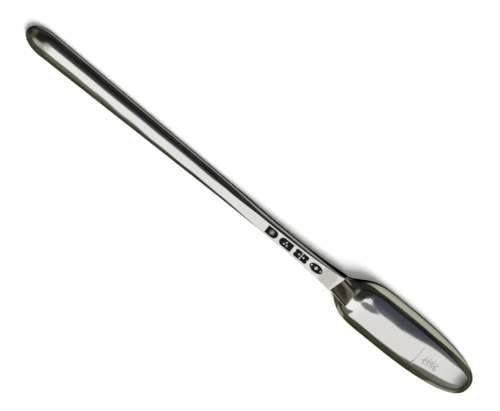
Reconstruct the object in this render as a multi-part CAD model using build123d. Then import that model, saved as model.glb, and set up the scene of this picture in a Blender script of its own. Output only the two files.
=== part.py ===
from build123d import *
from math import cos, pi, radians, sin, sqrt, tan
import os

# A silver marrow scoop: a long narrow scoop at one end, a wide scoop at the other, and a
# forged stem with a flat land between them. It lies on its rims, backs up. Millimetres.
# x runs from the narrow scoop's tip to the wide scoop's tip, y across, and z up from the
# plane of the rims. Each finished piece is shifted along x so that the middle is at zero.

# Lengths along the scoop
narrow_scoop_length = 112.0
stem_length = 44.5
wide_scoop_length = 65.5

# Wide scoop
wide_scoop_width = 21.4
wide_scoop_depth = 9.8
wide_scoop_wall = 1.1
wide_scoop_front = 40.5
wide_tip_fullness = 2.6
shoulder_sharpness = 2.6
shoulder_rise_sharpness = 3.2
shoulder_skew = 13.5
neck_squareness = 3.0
wide_hollow_setback = 3.6

# Narrow scoop
narrow_scoop_width = 10.7
narrow_scoop_depth = 5.2
narrow_scoop_wall = 1.0
narrow_tip_length = 10.0
narrow_tip_fullness = 2.1
narrow_hollow_setback = 6.0
narrow_hollow_runout = 16.0

# Stem
waist_from_joint = 9.0
waist_width = 6.8
neck_width = 8.6
land_height = 4.7
land_runout = 28.0
land_inset_at_waist = 1.15
land_inset_at_neck = 0.3
arch_rise = 0.9
arch_setback = 3.5
arch_lap = 2.5

# Drop: a flat-topped tongue that slopes from the stem's land up the back of the wide scoop
drop_length = 7.4
drop_start_width = 8.2
drop_end_width = 9.4
drop_seat_depth = 0.6
drop_slope = 30.0
drop_proud = 0.45
drop_squareness = 4.0
drop_corner = 1.6

# Soldered joints
solder_film = 0.12
scarf_angle = 35.0

# Struck recesses on the land, each with a plain raised device
mark_height = 3.3
shield_mark_width = 5.1
tongue_mark_width = 5.9
panel_mark_width = 6.2
oval_mark_width = 5.7
mark_gap = 1.5
marks_from_waist = 0.6
mark_depth = 0.3
device_height = 0.18
pellet_radius = 0.42
ring_radius = 0.95
ring_line = 0.3

# Stations and sizes that follow
joint_x = narrow_scoop_length
neck_x = joint_x + stem_length
overall_length = neck_x + wide_scoop_length
widest_x = overall_length - wide_scoop_front
waist_x = joint_x + waist_from_joint
land_start_x = joint_x - land_runout
half_narrow = narrow_scoop_width / 2
half_waist = waist_width / 2
half_neck = neck_width / 2
half_wide = wide_scoop_width / 2
neck_overrun = neck_width * tan(radians(shoulder_skew))
cutter_size = 4 * (wide_scoop_width + wide_scoop_depth)


def ease(share):
    """Smooth step from 0 to 1."""
    return (1 - cos(pi * min(max(share, 0), 1))) / 2


def rounded(share, fullness):
    """Size of a rounded end: 1 at its root, 0 at its tip."""
    return max(1 - abs(share) ** fullness, 0) ** (1 / fullness)


def plane_across(x, skew=0):
    """Upright plane across the scoop at x, turned in plan by skew degrees."""
    turn = tan(radians(skew))
    return Plane(origin=(x, 0, 0), x_dir=(turn, 1, 0), z_dir=(1, -turn, 0))


def section(x, half_width, height, squareness=2, skew=0, steps=8):
    """Closed face across the scoop: a dome over the rims and its mirror image below."""
    points = []
    half_width = half_width / cos(radians(skew))
    for step in range(steps + 1):
        angle = pi * step / steps
        side = 1 if cos(angle) > 0 else -1
        across = side * half_width * abs(cos(angle)) ** (2 / squareness)
        up = height * sin(angle) ** (2 / squareness) if 0 < step < steps else 0
        points.append((across, up))
    dome = Spline(*points, tangents=[(0, 1), (0, -1)])
    return plane_across(x, skew) * make_face([dome, mirror(dome, Plane.XZ)])


def spread(start, end, count):
    """Evenly spaced stations, both ends included."""
    return [start + (end - start) * step / (count - 1) for step in range(count)]


def tip_spread(root, tip, count):
    """Stations from a rounded end's root towards its tip, closer together at the tip."""
    return [root + (tip - root) * sin(pi / 2 * step / count) for step in range(count)]


# The narrow scoop and the stem share one outline, so that they run on without a step
def handle_half_width(x):
    if x < narrow_tip_length:
        return half_narrow * rounded(1 - x / narrow_tip_length, narrow_tip_fullness)
    if x < waist_x:
        share = (x - narrow_tip_length) / (waist_x - narrow_tip_length)
        return half_narrow + (half_waist - half_narrow) * share
    share = (x - waist_x) / (neck_x - waist_x)
    return half_waist + (half_neck - half_waist) * share**3


def land_half_width(x):
    """Half the width of the flat, from nothing in the narrow scoop's back to the neck."""
    if x < waist_x:
        full = handle_half_width(x) - land_inset_at_waist
        return full * ease((x - land_start_x) / (waist_x - land_start_x))
    share = (x - waist_x) / (neck_x - waist_x)
    inset = land_inset_at_waist + (land_inset_at_neck - land_inset_at_waist) * share**2
    return handle_half_width(x) - inset


def handle_height(x):
    """Height of the domed back. It passes above the land, which is cut flat."""
    if x < narrow_tip_length:
        return narrow_scoop_depth * rounded(1 - x / narrow_tip_length, narrow_tip_fullness)
    if x < land_start_x:
        share = (x - narrow_tip_length) / (land_start_x - narrow_tip_length)
        return narrow_scoop_depth + (land_height - narrow_scoop_depth) * share
    return land_height / sqrt(1 - (land_half_width(x) / handle_half_width(x)) ** 2)


def below_rims():
    """Everything under the plane of the rims, which are filed flat."""
    return Pos(0, 0, -cutter_size / 2) * Box(4 * overall_length, cutter_size, cutter_size)


def make_handle_forging():
    """Solid outer form of narrow scoop and stem, before the hollow is sunk."""
    stations = list(reversed(tip_spread(narrow_tip_length, 0, 6)))
    stations += spread(narrow_tip_length, land_start_x, 4)[1:]
    stations += spread(land_start_x, waist_x, 6)[1:]
    stations += spread(waist_x, neck_x + neck_overrun, 6)[1:]
    sections = [section(x, handle_half_width(x), handle_height(x)) for x in stations]
    forging = loft([Vertex(0, 0, 0)] + sections)
    above_land = Pos(neck_x, 0, land_height + cutter_size / 2) * Box(
        2 * (neck_x - land_start_x), cutter_size, cutter_size
    )
    return forging - above_land - below_rims()


def hollow_section(x, half_width, depth, skew=0):
    """Full ellipse, so that a hollow passes right through the plane of the rims."""
    return plane_across(x, skew) * Ellipse(half_width / cos(radians(skew)), depth)


def make_narrow_hollow():
    """Channel sunk between the rims, running out before the joint with the stem."""
    start = narrow_scoop_wall
    end = joint_x - narrow_hollow_setback
    root = narrow_tip_length
    runout = end - narrow_hollow_runout
    wall = narrow_scoop_wall

    def share(x):
        if x < root:
            return rounded((root - x) / (root - start), narrow_tip_fullness)
        return rounded(max(x - runout, 0) / (end - runout), 2)

    def half_width(x):
        return (handle_half_width(max(x, root)) - wall) * share(x)

    def depth(x):
        return (min(handle_height(max(x, root)), land_height) - wall) * share(x)

    stations = list(reversed(tip_spread(root, start, 6)))
    stations += spread(root, runout, 5)[1:]
    stations += tip_spread(runout, end, 6)[1:]
    sections = [hollow_section(x, half_width(x), depth(x)) for x in stations]
    return loft([Vertex(start, 0, 0)] + sections + [Vertex(end, 0, 0)])


def make_arch():
    """Waste under the stem, so that the scoop rests on its rims and not on the stem."""
    start = joint_x - arch_setback
    end = neck_x + arch_lap
    middle = (start + end) / 2
    with BuildSketch(Plane.XZ) as profile:
        with BuildLine():
            ThreePointArc((start, 0), (middle, arch_rise), (end, 0))
            Polyline((end, 0), (end, -arch_rise), (start, -arch_rise), (start, 0))
        make_face()
    return extrude(profile.sketch, cutter_size / 2, both=True)


def half_space(x, start, side, lean=0, skew=0):
    """Everything beyond a plane across x, side -1 towards the narrow tip and 1 away.

    The plane leans back by lean degrees and is turned in plan by skew degrees.
    """
    long = 2 * overall_length
    block = Box(long, 2 * cutter_size, 4 * cutter_size)
    place = Pos(x, 0, 0) * Rot(0, 0, -skew) * Rot(0, lean, 0)
    return place * Pos(start + side * long / 2, 0, 0) * block


# The wide scoop
def wide_half_width(x):
    if x > widest_x:
        return half_wide * rounded((x - widest_x) / wide_scoop_front, wide_tip_fullness)
    share = (widest_x - x) / (widest_x - neck_x)
    return half_neck + (half_wide - half_neck) * (1 - ease(share**shoulder_sharpness))


def wide_height(x):
    if x > widest_x:
        return wide_scoop_depth * rounded((x - widest_x) / wide_scoop_front, wide_tip_fullness)
    share = (widest_x - x) / (widest_x - neck_x)
    seat = land_height - drop_seat_depth
    return seat + (wide_scoop_depth - seat) * (1 - ease(share**shoulder_rise_sharpness))


def wide_skew(x):
    """The shoulder starts further back on one side, so its sections are turned in plan."""
    return shoulder_skew * max(widest_x - x, 0) / (widest_x - neck_x)


def wide_squareness(x):
    """The neck is square in section like the stem, and the scoop is round."""
    share = (widest_x - x) / (widest_x - neck_x)
    return 2 + (neck_squareness - 2) * ease(share) ** 3


def make_wide_blank():
    stations = spread(neck_x, widest_x, 9) + tip_spread(widest_x, overall_length, 8)[1:]
    sections = []
    for x in stations:
        half_width, height = wide_half_width(x), wide_height(x)
        sections.append(section(x, half_width, height, wide_squareness(x), wide_skew(x)))
    return loft(sections + [Vertex(overall_length, 0, 0)]) - below_rims()


def make_wide_hollow():
    """Hollow of the wide scoop, a half egg longer towards the tip."""
    wall = wide_scoop_wall
    back = neck_x + wide_hollow_setback
    front = overall_length - wall
    stations = list(reversed(tip_spread(widest_x, back, 6)))
    stations += tip_spread(widest_x, front, 6)[1:]
    sections = []
    for x in stations:
        reach = front - widest_x if x > widest_x else widest_x - back
        share = rounded((x - widest_x) / reach, wide_tip_fullness)
        half_width, depth = (half_wide - wall) * share, (wide_scoop_depth - wall) * share
        sections.append(hollow_section(x, half_width, depth, wide_skew(x)))
    return loft([Vertex(back, 0, 0)] + sections + [Vertex(front, 0, 0)])


def make_drop(wide_blank):
    """Sloping tongue: flush with the land at its root, and proud of the back all along."""
    end = neck_x + drop_length
    sections = []
    for x in spread(neck_x, end + drop_corner, 8):
        share = (x - neck_x) / drop_length
        width = drop_start_width + (drop_end_width - drop_start_width) * share
        slope_top = land_height + (x - neck_x) * tan(radians(drop_slope))
        top = max(slope_top, wide_height(x) + drop_proud)
        sections.append(section(x, width / 2, top, drop_squareness, wide_skew(x)))
    long = 4 * drop_length
    outline = RectangleRounded(long, drop_end_width, drop_corner)
    rounded_end = extrude(Pos(end - long / 2, 0, arch_rise) * outline, 2 * wide_scoop_depth)
    return (loft(sections) & rounded_end) - wide_blank


def round_ended(width, tall):
    """Panel square at its left end and half round at its right end."""
    square_part = Pos(-tall / 4, 0) * Rectangle(width - tall / 2, tall)
    return square_part + Pos((width - tall) / 2, 0) * Circle(tall / 2)


def make_marks():
    """Four struck recesses, each leaving its own plain device standing."""
    tall = mark_height
    shield = round_ended(shield_mark_width, tall)
    tongue = Rot(0, 0, 180) * round_ended(tongue_mark_width, tall)
    lobe = tall / 4
    panel = Rectangle(panel_mark_width - 2 * lobe, tall)
    for side in (-1, 1):
        for up in (-1, 1):
            panel += Pos(side * (panel_mark_width / 2 - lobe), up * lobe) * Circle(lobe)
    oval = Ellipse(oval_mark_width / 2, tall / 2)

    pellet = Circle(pellet_radius)
    ring = Circle(ring_radius) - Circle(ring_radius - ring_line)
    spacing = 2.6 * pellet_radius
    trefoil = [Pos(0, spacing / 2) * pellet]
    trefoil += [Pos(side * spacing * 0.6, -spacing / 2) * pellet for side in (-1, 1)]
    quatrefoil = [Pos(side * spacing, 0) * pellet for side in (-1, 0, 1)]
    quatrefoil += [Pos(0, up * spacing) * pellet for up in (-1, 1)]
    lozenge = Rot(0, 0, 45) * Rectangle(ring_radius * 1.3, ring_radius * 1.3)
    flanked = [lozenge] + [Pos(side * 2 * spacing, 0) * pellet for side in (-1, 1)]

    waste = []
    x = waist_x + marks_from_waist
    for outline, width, device in (
        (shield, shield_mark_width, [ring, pellet]),
        (tongue, tongue_mark_width, trefoil),
        (panel, panel_mark_width, quatrefoil),
        (oval, oval_mark_width, flanked),
    ):
        place = Pos(x + width / 2, 0, land_height)
        struck = extrude(place * outline, -mark_depth)
        for shape in device:
            struck -= extrude(place * Pos(0, 0, -mark_depth) * shape, device_height)
        waste.append(struck)
        x += width + mark_gap
    return waste


def save(piece, name):
    export_step(Pos(-overall_length / 2, 0, 0) * piece, f"parts/{name}.step")


os.makedirs("parts", exist_ok=True)

half_film = solder_film / 2
narrow_side = half_space(joint_x, -half_film, -1, lean=scarf_angle)
stem_side = half_space(joint_x, half_film, 1, lean=scarf_angle)
neck_side = half_space(neck_x, -solder_film, 1, skew=shoulder_skew)
handle = make_handle_forging() - half_space(neck_x, 0, 1, skew=shoulder_skew) - make_arch()
wide_blank = make_wide_blank() - make_arch()

narrow_scoop = (handle & narrow_side) - make_narrow_hollow()
scarf_solder = handle - narrow_side - stem_side
stem = (handle & stem_side) - neck_side - make_marks()
neck_solder = handle & neck_side
wide_scoop = wide_blank - make_wide_hollow()
heel_drop = make_drop(wide_blank)

save(narrow_scoop, "narrow_scoop")
save(scarf_solder, "scarf_solder")
save(stem, "stem")
save(neck_solder, "neck_solder")
save(wide_scoop, "wide_scoop")
save(heel_drop, "heel_drop")
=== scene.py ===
# %% [markdown]
# # A silver marrow scoop
# A marrow scoop is a table tool of one metal: a narrow channel for thin bones at one end, a
# wide oval scoop at the other, and a stem with a flat land between them. It lies on its rims
# with its back up. The solids come from the CAD frame. Polished silver shows every facet of
# its mesh as a break in a reflection, so each piece here is rebuilt as a dense, smooth skin
# that has the same sizes as its solid.

# %% Load the frame
from math import acos, asin, cos, pi, radians, sin, sqrt, tan

import bmesh
import bpy
from mathutils import Matrix, Vector


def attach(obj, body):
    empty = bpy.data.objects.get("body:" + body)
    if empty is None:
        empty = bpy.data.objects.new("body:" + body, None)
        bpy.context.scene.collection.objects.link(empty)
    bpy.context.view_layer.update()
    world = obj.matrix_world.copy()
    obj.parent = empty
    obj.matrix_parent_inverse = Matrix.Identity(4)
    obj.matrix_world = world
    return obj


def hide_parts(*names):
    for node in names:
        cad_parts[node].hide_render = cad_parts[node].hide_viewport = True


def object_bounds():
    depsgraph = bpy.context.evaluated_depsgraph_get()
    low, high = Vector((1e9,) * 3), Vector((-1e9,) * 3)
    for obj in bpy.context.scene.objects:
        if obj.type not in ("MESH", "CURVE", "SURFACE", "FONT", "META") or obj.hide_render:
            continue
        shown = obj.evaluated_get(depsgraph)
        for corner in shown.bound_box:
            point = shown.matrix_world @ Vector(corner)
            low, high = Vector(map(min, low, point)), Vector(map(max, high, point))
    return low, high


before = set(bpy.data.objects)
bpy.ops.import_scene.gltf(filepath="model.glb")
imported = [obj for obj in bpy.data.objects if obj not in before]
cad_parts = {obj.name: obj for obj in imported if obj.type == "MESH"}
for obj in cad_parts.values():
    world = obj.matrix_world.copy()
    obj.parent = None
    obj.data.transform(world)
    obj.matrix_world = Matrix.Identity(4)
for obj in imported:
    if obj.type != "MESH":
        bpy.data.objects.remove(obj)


def box_as_lists(box):
    return [list(corner) for corner in box]


cad_box = box_as_lists(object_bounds())
print("CAD box, metres:", cad_box)

# %% [markdown]
# ## Sizes
# Everything below is in millimetres, with x measured from the narrow scoop's tip, because
# that is how a maker would measure it. One function turns a point into the frame's metres.
# The sizes are those of the solids, so the skins start and end where the solids do, to less
# than a tenth of a millimetre.

# %% Sizes of the scoop
MM = 0.001
OVERALL = (cad_box[1][0] - cad_box[0][0]) / MM
NARROW_LENGTH, STEM_LENGTH = 112.0, 44.5
NECK_X = NARROW_LENGTH + STEM_LENGTH
TIP_X, WIDE_FRONT = 222.0, 40.5
WIDEST_X = TIP_X - WIDE_FRONT
LAND_HEIGHT = 4.7
LAND_START_X = NARROW_LENGTH - 28.0
WAIST_X = NARROW_LENGTH + 9.0
print("length, mm:", round(OVERALL, 2), "neck at", NECK_X)


def to_frame(x, y, z):
    """A point in maker's millimetres as a vector in the frame's metres."""
    return Vector(((x - TIP_X / 2) * MM, y * MM, z * MM))


# %% Small curve helpers
def clamp(value, low=0.0, high=1.0):
    return min(max(value, low), high)


def ease(share):
    """Smooth step from 0 to 1."""
    return (1 - cos(pi * clamp(share))) / 2


def rounded(share, fullness):
    """Size of a rounded end: 1 at its root, 0 at its tip."""
    return max(1 - abs(share) ** fullness, 0.0) ** (1 / fullness)


def spread(start, end, count):
    return [start + (end - start) * step / (count - 1) for step in range(count)]


def tip_spread(root, tip, count):
    """Stations from a rounded end's root to its tip, closer together at the tip."""
    return [root + (tip - root) * sin(pi / 2 * step / count) for step in range(count)]


def soft_min(first, second, reach):
    """The smaller of two heights, with the corner between them rubbed round."""
    gap = max(reach - abs(first - second), 0.0)
    return min(first, second) - gap * gap / (4 * reach)


# %% [markdown]
# ## Outline and height of the two forgings
# Seen from above, the narrow scoop tapers from a finger-like tip to the stem's waist, and the
# stem widens again to the neck. Its back is half an ellipse in section. Where the ellipse
# passes above the land it is cut flat, which is what a file does to the real stem, so the
# flat starts as a point in the rounded back and widens by itself.

# %% Narrow scoop and stem
NARROW_HALF, WAIST_HALF, NECK_HALF = 5.35, 3.4, 4.3
NARROW_DEPTH = 5.2
NARROW_TIP, NARROW_FULLNESS = 10.0, 2.1


def handle_half_width(x):
    if x < NARROW_TIP:
        return NARROW_HALF * rounded(1 - x / NARROW_TIP, NARROW_FULLNESS)
    if x < WAIST_X:
        share = (x - NARROW_TIP) / (WAIST_X - NARROW_TIP)
        return NARROW_HALF + (WAIST_HALF - NARROW_HALF) * share
    return WAIST_HALF + (NECK_HALF - WAIST_HALF) * ((x - WAIST_X) / (NECK_X - WAIST_X)) ** 3


def land_half_width(x):
    inset_waist, inset_neck = 1.15, 0.3
    if x < WAIST_X:
        full = handle_half_width(x) - inset_waist
        return full * ease((x - LAND_START_X) / (WAIST_X - LAND_START_X))
    share = (x - WAIST_X) / (NECK_X - WAIST_X)
    return handle_half_width(x) - inset_waist - (inset_neck - inset_waist) * share**2


def handle_height(x):
    if x < NARROW_TIP:
        return NARROW_DEPTH * rounded(1 - x / NARROW_TIP, NARROW_FULLNESS)
    if x < LAND_START_X:
        share = (x - NARROW_TIP) / (LAND_START_X - NARROW_TIP)
        return NARROW_DEPTH + (LAND_HEIGHT - NARROW_DEPTH) * share
    return LAND_HEIGHT / sqrt(1 - (land_half_width(x) / handle_half_width(x)) ** 2)


for x in (10, 60, 121, 145, 157):
    print("handle at", x, "half width", round(handle_half_width(x), 2),
          "land", round(land_half_width(x), 2))

# %% Wide scoop
WIDE_HALF, WIDE_DEPTH, WIDE_FULLNESS = 10.7, 9.8, 2.6
SEAT_UNDER_LAND, SKEW_DEGREES = 0.6, 13.5
SEAT_HEIGHT = LAND_HEIGHT - SEAT_UNDER_LAND
WIDTH_POWER, HEIGHT_POWER, SQUARE_POWER = 2.6, 3.2, 3


def shoulder_share(x):
    return (WIDEST_X - x) / (WIDEST_X - NECK_X)


def wide_half_width(x):
    if x > WIDEST_X:
        return WIDE_HALF * rounded((x - WIDEST_X) / WIDE_FRONT, WIDE_FULLNESS)
    return NECK_HALF + (WIDE_HALF - NECK_HALF) * (1 - ease(shoulder_share(x) ** WIDTH_POWER))


def wide_height(x):
    if x > WIDEST_X:
        return WIDE_DEPTH * rounded((x - WIDEST_X) / WIDE_FRONT, WIDE_FULLNESS)
    risen = 1 - ease(shoulder_share(x) ** HEIGHT_POWER)
    return SEAT_HEIGHT + (WIDE_DEPTH - SEAT_HEIGHT) * risen


def wide_squareness(x):
    return 2 + ease(shoulder_share(x)) ** SQUARE_POWER if x < WIDEST_X else 2


def wide_skew(x):
    """Slope of a section in plan: the shoulder starts further back on one side."""
    return tan(radians(SKEW_DEGREES * max(shoulder_share(x), 0)))


for x in (NECK_X, WIDEST_X, TIP_X - 10):
    print("wide scoop at", x, "half width", round(wide_half_width(x), 2),
          "height", round(wide_height(x), 2))


# %% [markdown]
# ## Hollows
# Both hollows are half ellipses sunk from the rims. A hollow ends round, so its width and
# depth shrink to nothing at both ends. Between the hollows the underside is a low arch,
# which keeps the stem off the table.

# %% Hollows and arch
RIM_WALL, WIDE_WALL = 1.0, 1.1
HOLLOW_END = NARROW_LENGTH - 6.0
HOLLOW_RUNOUT = HOLLOW_END - 16.0
WIDE_HOLLOW_BACK = NECK_X + 3.6
ARCH_START, ARCH_END, ARCH_RISE = NARROW_LENGTH - 3.5, NECK_X + 2.5, 0.9


def narrow_hollow(x):
    """Half width and depth of the channel at x."""
    if not RIM_WALL < x < HOLLOW_END:
        return 0.0, 0.0
    root = max(x, NARROW_TIP)
    if x < NARROW_TIP:
        share = rounded((NARROW_TIP - x) / (NARROW_TIP - RIM_WALL), NARROW_FULLNESS)
    else:
        share = rounded(max(x - HOLLOW_RUNOUT, 0) / (HOLLOW_END - HOLLOW_RUNOUT), 2)
    depth = min(handle_height(root), LAND_HEIGHT) - RIM_WALL
    return (handle_half_width(root) - RIM_WALL) * share, depth * share


def wide_hollow(x):
    front = TIP_X - WIDE_WALL
    if not WIDE_HOLLOW_BACK < x < front:
        return 0.0, 0.0
    reach = front - WIDEST_X if x > WIDEST_X else WIDEST_X - WIDE_HOLLOW_BACK
    share = rounded((x - WIDEST_X) / reach, WIDE_FULLNESS)
    return (WIDE_HALF - WIDE_WALL) * share, (WIDE_DEPTH - WIDE_WALL) * share


def arch(x):
    """Height of the stem's underside over the rims."""
    middle, half = (ARCH_START + ARCH_END) / 2, (ARCH_END - ARCH_START) / 2
    return max(ARCH_RISE * (1 - ((x - middle) / half) ** 2), 0.0)


print("hollow depth, mm:", round(narrow_hollow(50)[1], 2), round(wide_hollow(WIDEST_X)[1], 2))

# %% [markdown]
# ## Struck marks
# A mark is struck with a steel punch: it leaves a sunk panel with a small device standing in
# it. The four here hold a ring, pellets and a lozenge. A shape is written as a distance: less
# than zero inside, more than zero outside. The distance then becomes a sloping wall, so the
# recess is real geometry and not a painted one.

# %% Distances
def box_distance(x, y, half_x, half_y):
    outside_x, outside_y = abs(x) - half_x, abs(y) - half_y
    reach = sqrt(max(outside_x, 0) ** 2 + max(outside_y, 0) ** 2)
    return reach + min(max(outside_x, outside_y), 0)


def disc_distance(x, y, radius):
    return sqrt(x * x + y * y) - radius


def inside(distance, wall):
    """1 inside a shape, 0 outside, and a slope as wide as wall between them."""
    return ease(0.5 - distance / wall)


MARK_TALL, MARK_DEPTH, DEVICE_HEIGHT = 3.3, 0.30, 0.20
MARKS_FROM_WAIST, MARK_GAP, MARK_REACH = 0.6, 1.5, 4
MARK_WALL, DEVICE_WALL, DEVICE_RUBBED = 0.22, 0.3, 0.85
PELLET, RING, RING_LINE, LOZENGE_SHARE = 0.42, 0.95, 0.3, 0.92
STEP = 2.6 * PELLET


def round_ended(x, y, width, side):
    """Panel half round on one side and square on the other."""
    half = MARK_TALL / 2
    square = box_distance(x + side * half / 2, y, width / 2 - half / 2, half)
    return min(square, disc_distance(x - side * (width / 2 - half), y, half))


def lobed(x, y, width):
    lobe = MARK_TALL / 4
    discs = disc_distance(abs(x) - (width / 2 - lobe), abs(y) - lobe, lobe)
    return min(box_distance(x, y, width / 2 - lobe, 2 * lobe), discs)


def oval(x, y, width):
    return (sqrt((2 * x / width) ** 2 + (2 * y / MARK_TALL) ** 2) - 1) * MARK_TALL / 2


# %% Devices in the marks
def ring_and_pellet(x, y):
    ring = abs(disc_distance(x, y, RING - RING_LINE / 2)) - RING_LINE / 2
    return min(ring, disc_distance(x, y, PELLET))


def trefoil(x, y):
    low = disc_distance(abs(x) - 0.6 * STEP, y + STEP / 2, PELLET)
    return min(low, disc_distance(x, y - STEP / 2, PELLET))


def quatrefoil(x, y):
    across = disc_distance(abs(x) - STEP, y, PELLET)
    upright = disc_distance(x, abs(y) - STEP, PELLET)
    return min(across, upright, disc_distance(x, y, PELLET))


def flanked_lozenge(x, y):
    lozenge = (abs(x) + abs(y) - LOZENGE_SHARE * RING) / sqrt(2)
    return min(lozenge, disc_distance(abs(x) - 2 * STEP, y, PELLET))


def struck_marks():
    """Middle, outline and device of each mark, from the waist towards the neck."""
    marks, x = [], WAIST_X + MARKS_FROM_WAIST
    for width, outline, device in (
        (5.1, lambda x, y: round_ended(x, y, 5.1, 1), ring_and_pellet),
        (5.9, lambda x, y: round_ended(x, y, 5.9, -1), trefoil),
        (6.2, lambda x, y: lobed(x, y, 6.2), quatrefoil),
        (5.7, lambda x, y: oval(x, y, 5.7), flanked_lozenge),
    ):
        marks.append((x + width / 2, outline, device))
        x += width + MARK_GAP
    return marks


MARKS = struck_marks()
print("marks at", [round(mark[0], 1) for mark in MARKS])


def mark_cut(x, y):
    """Depth of the struck metal at a point of the land, and how dark it has gone."""
    for middle, outline, device in MARKS:
        if abs(x - middle) < MARK_REACH:
            sunk = inside(outline(x - middle, y), MARK_WALL)
            raised = inside(device(x - middle, y), DEVICE_WALL)
            darkness = sunk * (1 - DEVICE_RUBBED * raised)
            return MARK_DEPTH * sunk - DEVICE_HEIGHT * raised * sunk, darkness
    return 0.0, 0.0


# %% [markdown]
# ## Engraving
# The wide scoop's back carries a small engraved sprig over a short bar. A graver's cut is a
# shallow V, so each stroke here is a line with a depth that falls off to both sides. Leaves
# come in pairs along the stalk, which makes them a loop.

# %% Engraved strokes
CUT_DEPTH, CUT_HALF, CUT_DIRT, CUT_MARGIN = 0.05, 0.24, 0.5, 1
BAR_X, BAR_HALF = 197.5, 4.1
STALK_START, STALK_END, STALK_SWAY, STALK_STOPS = 199.4, 206.6, 0.9, 7
LEAF_PAIRS, LEAF_LENGTH, LEAF_SPREAD, LEAF_TURN = 4, 1.9, 55, 14
LEAF_FIRST, LEAF_LAST = STALK_START + 0.8, STALK_END - 1.6


def stalk_y(x):
    share = (x - STALK_START) / (STALK_END - STALK_START)
    return STALK_SWAY * sin(pi * share)


def sprig_strokes():
    """Straight strokes as pairs of ends: the bar, the stalk in short runs, and the leaves."""
    strokes = [((BAR_X, -BAR_HALF), (BAR_X, BAR_HALF))]
    stops = spread(STALK_START, STALK_END, STALK_STOPS)
    for start, end in zip(stops, stops[1:]):
        strokes.append(((start, stalk_y(start)), (end, stalk_y(end))))
    for foot in spread(LEAF_FIRST, LEAF_LAST, LEAF_PAIRS):
        for side in (-1, 1):
            for turn in (-LEAF_TURN, LEAF_TURN):
                angle = radians(side * LEAF_SPREAD + turn)
                tip = (foot + LEAF_LENGTH * cos(angle), stalk_y(foot) + LEAF_LENGTH * sin(angle))
                strokes.append(((foot, stalk_y(foot)), tip))
    return strokes


STROKES = sprig_strokes()
print("engraved strokes:", len(STROKES))


def stroke_distance(x, y, start, end):
    run_x, run_y = end[0] - start[0], end[1] - start[1]
    share = clamp(((x - start[0]) * run_x + (y - start[1]) * run_y) / (run_x**2 + run_y**2))
    return sqrt((x - start[0] - share * run_x) ** 2 + (y - start[1] - share * run_y) ** 2)


def engraving_cut(x, y):
    """Depth of the graver's cuts at a point of the back, and how dark they have gone."""
    along_strokes = BAR_X - CUT_MARGIN < x < STALK_END + CUT_MARGIN
    if not along_strokes or abs(y) > BAR_HALF + CUT_MARGIN:
        return 0.0, 0.0
    nearest = min(stroke_distance(x, y, *stroke) for stroke in STROKES)
    cut = clamp(1 - nearest / CUT_HALF)
    return CUT_DEPTH * cut, CUT_DIRT * cut


# %% [markdown]
# ## From stations to a skin
# A forging is described by rings. A ring is one closed loop across the scoop: up over the
# back, round the rim, through the hollow and back. Every ring of a piece has the same number
# of points in the same order, so neighbours join into four-sided faces. The columns are
# closer together where the shape turns fast or carries marks. Hand work leaves the metal a
# little uneven, which shows in its reflections, so the back has a very shallow ripple.

# %% The forgings as forms
from collections import namedtuple

Form = namedtuple("Form", "half_width height squareness hollow arch top middle columns cut")

SIDE_STEPS, CORNER_STEPS, RIM_STEPS, HOLLOW_STEPS = 14, 5, 3, 36
RIM_ROUND, LIP_ROUND, LAND_EDGE = 0.32, 0.18, 0.8
MIDDLE_SHARE, MIDDLE_LIMIT, LAND_MARGIN, MIDDLE_SETTLE = 0.8, 0.97, 0.45, 16.0
RIPPLE = 0.012


def no_cut(x, y):
    return 0.0, 0.0


def handle_middle(x):
    """Half width of the finely divided part: it follows the edge of the land."""
    plain = MIDDLE_SHARE * handle_half_width(x)
    if x < LAND_START_X:
        return plain
    land = min(land_half_width(x) + LAND_MARGIN, MIDDLE_LIMIT * handle_half_width(x))
    settled = ease((x - LAND_START_X) / MIDDLE_SETTLE)
    return plain * (1 - settled) + land * settled


def handle_top(x, z):
    """The back is filed flat at the land's height, with an edge that softens by degrees."""
    if x <= LAND_START_X:
        return z
    return soft_min(z, LAND_HEIGHT, LAND_EDGE * clamp((x - LAND_START_X) / MIDDLE_SETTLE))


def ripple(form, x, y, z):
    """Unevenness left by the hammer: none on the filed land and none at the rims."""
    wave = RIPPLE * (sin(0.41 * x + 0.9 * y) + 0.7 * sin(0.23 * x - 0.6 * y + 1.3))
    free = clamp(2 * (form.top(x, z + 0.5) - z)) * clamp(z / 2)
    return free * wave


HANDLE = Form(half_width=handle_half_width, height=handle_height, squareness=lambda x: 2,
              hollow=narrow_hollow, arch=arch, top=handle_top, middle=handle_middle,
              columns=48, cut=no_cut)
STEM = HANDLE._replace(columns=64, cut=mark_cut)
WIDE = Form(half_width=wide_half_width, height=wide_height, squareness=wide_squareness,
            hollow=wide_hollow, arch=arch, top=lambda x, z: z,
            middle=lambda x: MIDDLE_SHARE * wide_half_width(x), columns=124,
            cut=engraving_cut)


# %% One ring
def back_height(form, x, y):
    """Height of a forging's back over the rims at a point of its plan."""
    share = min(abs(y) / form.half_width(x), 1)
    square = form.squareness(x)
    dome = form.height(x) * (1 - share**square) ** (1 / square)
    return form.top(x, dome)


def side_columns(form, x, lowest):
    """Places across the side, from the rim up to the finely divided middle."""
    half, power = form.half_width(x), form.squareness(x) / 2
    low = asin(clamp(lowest / form.height(x)) ** power)
    high = acos((form.middle(x) / half) ** power)
    angles = spread(low, high, SIDE_STEPS)[:-1]
    return [half * cos(angle) ** (1 / power) for angle in angles]


def corner(across, up, radius, start, end):
    """Quarter round in a ring, as points from one angle to another."""
    turns = spread(start, end, CORNER_STEPS)
    return [(across + radius * cos(turn), up + radius * sin(turn)) for turn in turns]


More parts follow.
